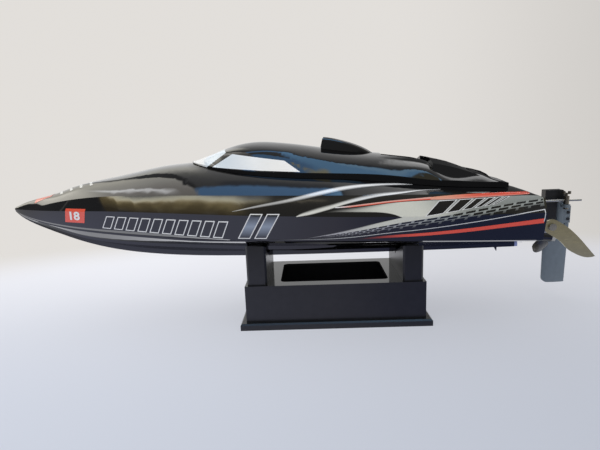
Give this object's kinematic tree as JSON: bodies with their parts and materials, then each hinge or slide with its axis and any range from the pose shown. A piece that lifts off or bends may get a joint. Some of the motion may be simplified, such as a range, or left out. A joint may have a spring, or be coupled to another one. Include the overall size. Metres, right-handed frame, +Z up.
{
  "type": "radio controlled mono hull speedboat on stand",
  "caption": "Radio-controlled mono-hull racing speedboat with lift-off canopy, propeller, linked rudder and servo, turn fins and radio gear, resting on a plastic display stand.",
  "frame": {"origin": "on the table under the middle of the stand", "axes": "+X aft along the hull, +Y to starboard, +Z up"},
  "size_m": [0.4799, 0.114, 0.1489],
  "materials": {
    "stand_plastic": "satin",
    "stand_plate": "matte",
    "pad_foam": "matte",
    "steel": "brushed",
    "dark_steel": "black oxide",
    "hull_paint": "gloss",
    "seal_rubber": "matte",
    "magnet": "plated",
    "window_silver": "gloss",
    "brass": "satin",
    "aluminium": "satin",
    "prop_plastic": "satin",
    "motor_paint": "satin",
    "copper": "lacquered",
    "fitting_plastic": "matte",
    "jacket_blue": "anodised",
    "bracket_plastic": "satin",
    "slate_plastic": "satin",
    "brass_nickel": "plated",
    "case_plastic": "matte",
    "horn_plastic": "satin",
    "fin_metal": "polished",
    "battery_wrap": "satin",
    "strap_web": "woven",
    "float_foam": "foam"
  },
  "bodies": {
    "stand": {"stand_box": "stand_plastic", "stand_base_plate": "stand_plate", "stand_cradles": "stand_plastic", "cradle_pads": "pad_foam", "cradle_screws": "steel"},
    "canopy": {"canopy_shell": "hull_paint", "windshield": "window_silver", "side_windows": "window_silver", "roof_scoop": "hull_paint", "engine_covers": "hull_paint", "tail_fairing": "hull_paint", "canopy_magnets": "magnet"},
    "drivetrain": {"motor_rotor": "steel", "shaft_coupler": "aluminium", "coupler_screws": "dark_steel", "drive_shaft": "steel", "drive_dog": "aluminium", "propeller": "prop_plastic", "prop_nut": "steel"},
    "rudder": {"rudder_holder": "slate_plastic", "rudder_blade": "slate_plastic", "rudder_pins": "dark_steel", "tiller_horn": "slate_plastic"},
    "linkage": {"rudder_pushrod": "steel", "linkage_stoppers": "brass_nickel"},
    "servo_output": {"servo_horn": "horn_plastic"},
    "hull": {"battery_pack": "battery_wrap", "battery_straps": "strap_web", "battery_tray": "fitting_plastic", "bow_foam": "float_foam", "cooling_jacket": "jacket_blue", "deck_magnets": "magnet", "deck_shell": "hull_paint", "drain_plug": "seal_rubber", "equipment_pads": "pad_foam", "fin_brackets": "aluminium", "hatch_gasket": "seal_rubber", "hull_shell": "hull_paint", "keel_pickup": "hull_paint", "motor_bearings": "steel", "motor_can": "motor_paint", "motor_end_bells": "aluminium", "motor_mount": "fitting_plastic", "motor_screws": "dark_steel", "motor_stator": "copper", "pushrod_bellows": "seal_rubber", "receiver": "case_plastic", "rudder_bracket": "bracket_plastic", "rudder_pivot_pin": "steel", "servo_case": "case_plastic", "servo_mount": "fitting_plastic", "servo_screws": "dark_steel", "shaft_bushes": "brass", "shaft_strut": "aluminium", "speed_controller": "jacket_blue", "stern_screws": "steel", "stuffing_tube": "brass", "turn_fin_port": "fin_metal", "turn_fin_starboard": "fin_metal", "water_outlet": "aluminium"}
  },
  "joints": [
    {"name": "hull_lift", "type": "slide", "parent": "stand", "child": "hull", "axis": [0, 0, 1], "range_m": [0, 0.08]},
    {"name": "canopy_lift", "type": "slide", "parent": "hull", "child": "canopy", "axis": [0, 0, 1], "range_m": [0, 0.05]},
    {"name": "shaft_spin", "type": "hinge", "parent": "hull", "child": "drivetrain", "pos_m": [0.1527, 0, 0.0625], "axis": [0.9954, 0, -0.0958], "continuous": true},
    {"name": "rudder_turn", "type": "hinge", "parent": "hull", "child": "rudder", "pos_m": [0.2, 0.02, 0.07], "axis": [0, 0, 1], "range_deg": [-30, 30]},
    {"name": "pushrod_slide", "type": "slide", "parent": "hull", "child": "linkage", "axis": [1, 0, 0], "range_m": [-0.0052, 0.0052]},
    {"name": "servo_turn", "type": "hinge", "parent": "hull", "child": "servo_output", "pos_m": [0.092, 0.014, 0.0788], "axis": [0, 1, 0], "range_deg": [-31, 31]}
  ],
  "couplings": [
    {"joint": "pushrod_slide", "follows": "rudder_turn", "m_per_rad": 0.00972},
    {"joint": "servo_turn", "follows": "rudder_turn", "ratio": 1}
  ]
}
